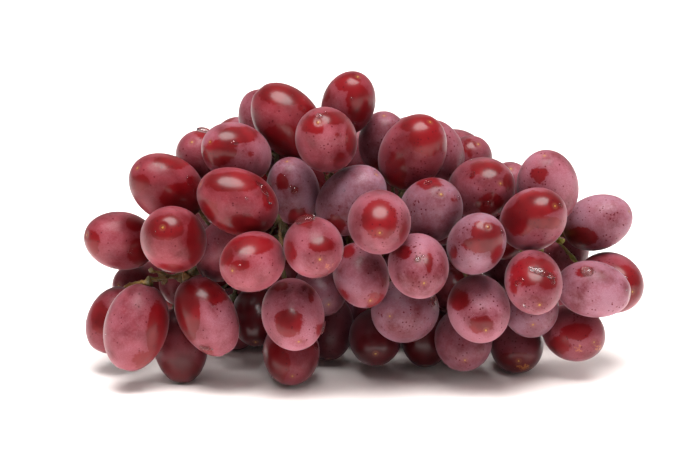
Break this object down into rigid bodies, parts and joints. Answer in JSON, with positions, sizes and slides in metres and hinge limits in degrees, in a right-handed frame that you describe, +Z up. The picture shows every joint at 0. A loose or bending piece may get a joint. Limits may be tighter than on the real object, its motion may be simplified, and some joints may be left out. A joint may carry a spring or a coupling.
{
  "type": "bunch of grapes",
  "caption": "Bunch of red table grapes lying on its side: glossy oval berries on short stems around a woody branching stalk.",
  "frame": {"origin": "middle of the bunch's box, on the table it lies on", "axes": "+X along the bunch's length, towards its right-hand end as seen from its front; +Y to its back, where the stalk's cut end is; +Z up"},
  "size_m": [0.197, 0.137, 0.1083],
  "materials": {
    "grape_skin": "gloss",
    "stalk_bark": "matte"
  },
  "bodies": {
    "root": {"berries_back_crown": "grape_skin", "berries_back_high": "grape_skin", "berries_back_low": "grape_skin", "berries_back_mid": "grape_skin", "berries_back_top": "grape_skin", "berries_under": "grape_skin", "berry_crown_1": "grape_skin", "berry_crown_2": "grape_skin", "berry_crown_3": "grape_skin", "berry_crown_4": "grape_skin", "berry_crown_5": "grape_skin", "berry_crown_6": "grape_skin", "berry_heart_1": "grape_skin", "berry_heart_2": "grape_skin", "berry_heart_3": "grape_skin", "berry_heart_4": "grape_skin", "berry_heart_5": "grape_skin", "berry_heart_6": "grape_skin", "berry_heart_7": "grape_skin", "berry_heart_8": "grape_skin", "berry_left_foot_1": "grape_skin", "berry_left_foot_2": "grape_skin", "berry_left_foot_3": "grape_skin", "berry_left_foot_4": "grape_skin", "berry_left_foot_5": "grape_skin", "berry_left_tail_1": "grape_skin", "berry_left_tail_2": "grape_skin", "berry_left_tail_3": "grape_skin", "berry_left_tail_4": "grape_skin", "berry_left_wing_1": "grape_skin", "berry_left_wing_2": "grape_skin", "berry_left_wing_3": "grape_skin", "berry_left_wing_4": "grape_skin", "berry_left_wing_5": "grape_skin", "berry_left_wing_6": "grape_skin", "berry_right_foot_1": "grape_skin", "berry_right_foot_2": "grape_skin", "berry_right_foot_3": "grape_skin", "berry_right_foot_4": "grape_skin", "berry_right_foot_5": "grape_skin", "berry_right_foot_6": "grape_skin", "berry_right_foot_7": "grape_skin", "berry_right_foot_8": "grape_skin", "berry_right_shoulder_1": "grape_skin", "berry_right_shoulder_2": "grape_skin", "berry_right_shoulder_3": "grape_skin", "berry_right_shoulder_4": "grape_skin", "berry_right_shoulder_5": "grape_skin", "berry_right_shoulder_6": "grape_skin", "berry_right_wing_1": "grape_skin", "berry_right_wing_10": "grape_skin", "berry_right_wing_2": "grape_skin", "berry_right_wing_3": "grape_skin", "berry_right_wing_4": "grape_skin", "berry_right_wing_5": "grape_skin", "berry_right_wing_6": "grape_skin", "berry_right_wing_7": "grape_skin", "berry_right_wing_8": "grape_skin", "berry_right_wing_9": "grape_skin", "stalk": "stalk_bark"}
  },
  "joints": []
}
